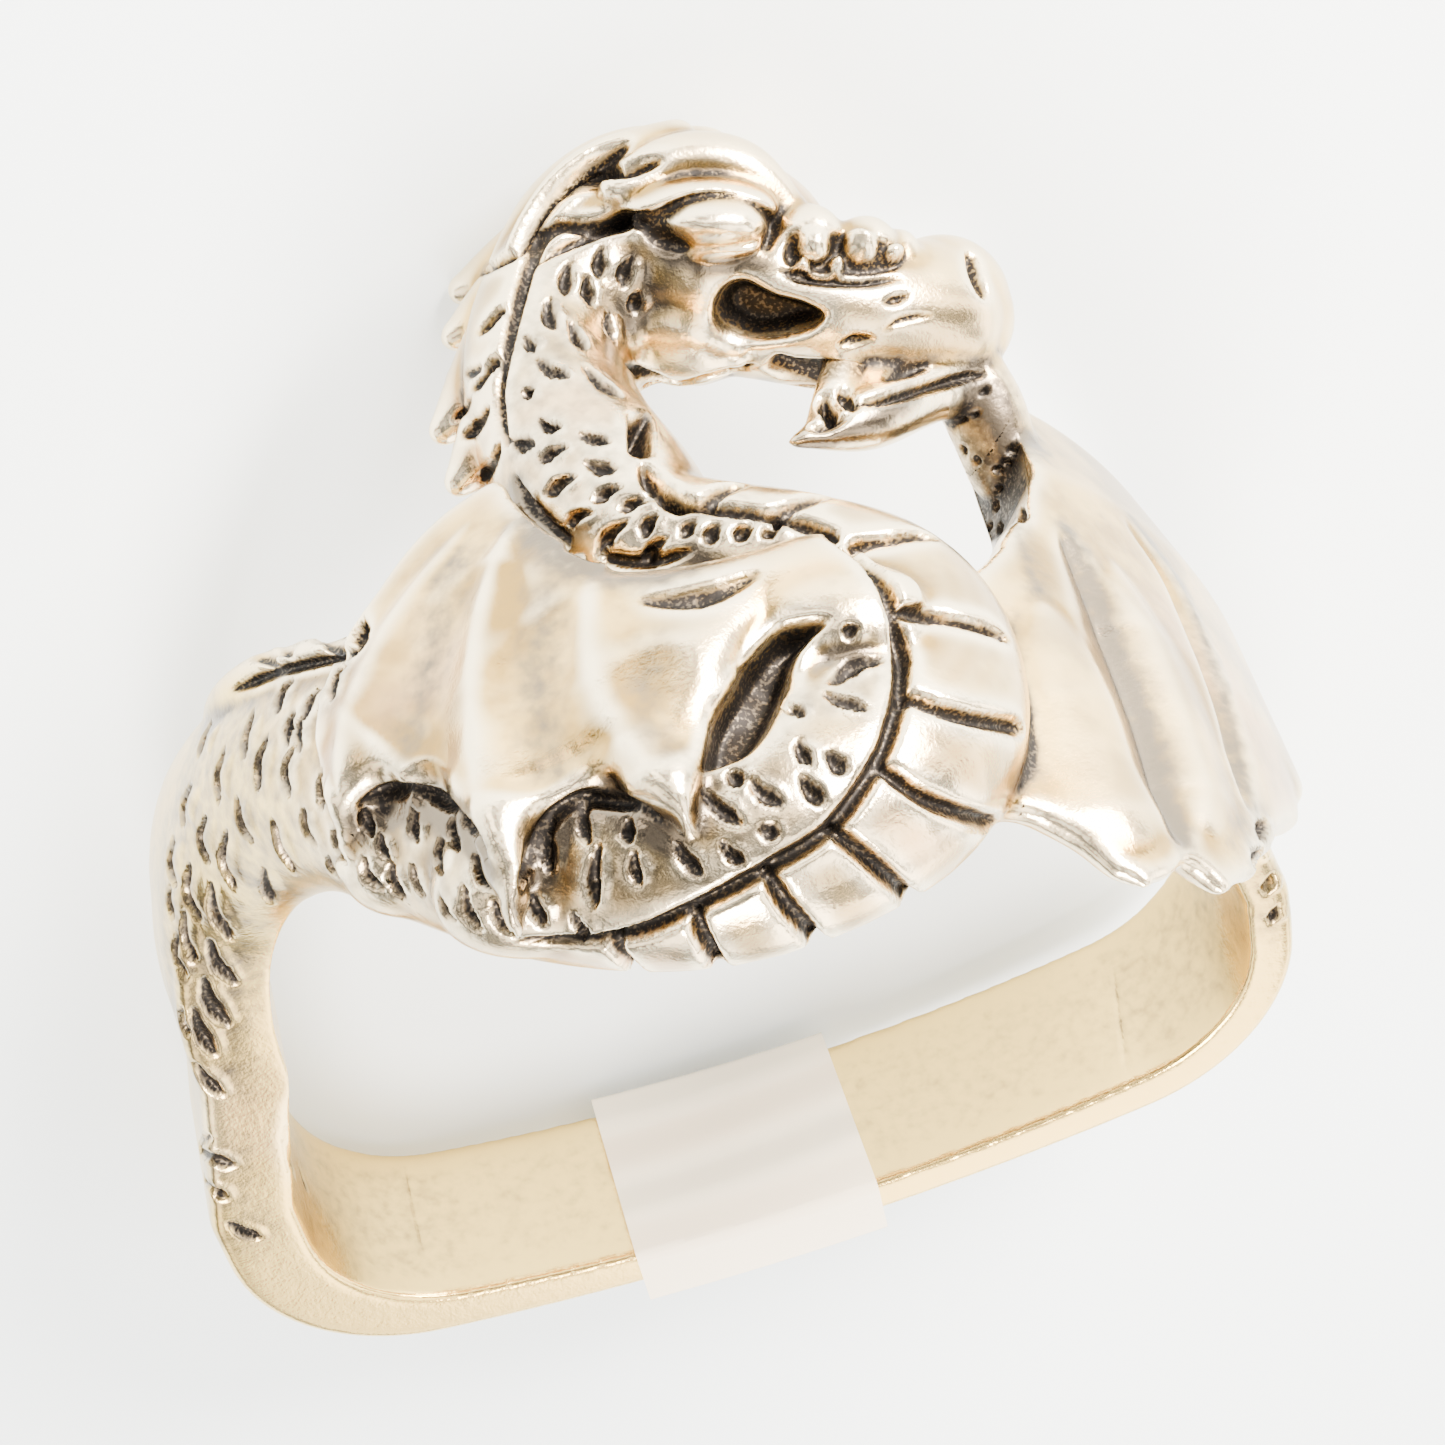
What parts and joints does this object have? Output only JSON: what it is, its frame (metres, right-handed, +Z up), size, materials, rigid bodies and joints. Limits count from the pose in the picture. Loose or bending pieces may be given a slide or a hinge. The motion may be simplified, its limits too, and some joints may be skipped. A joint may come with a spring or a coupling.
{
  "type": "dragon ring with clear size sleeve",
  "caption": "Cast silver finger ring in the form of a winged dragon curled round itself, with a squared band and a clear plastic size sleeve.",
  "frame": {"origin": "middle of the ring's footprint, on the surface that it lies on", "axes": "+Z up, +Y from the band's bottom to the dragon's head, +X towards the plain side of the band"},
  "size_m": [0.0238, 0.0256, 0.0177],
  "materials": {
    "sterling_silver": "polished, oxidised in the recesses",
    "clear_vinyl": "clear"
  },
  "bodies": {
    "root": {"dragon_ring": "sterling_silver", "size_sleeve": "clear_vinyl"}
  },
  "joints": []
}
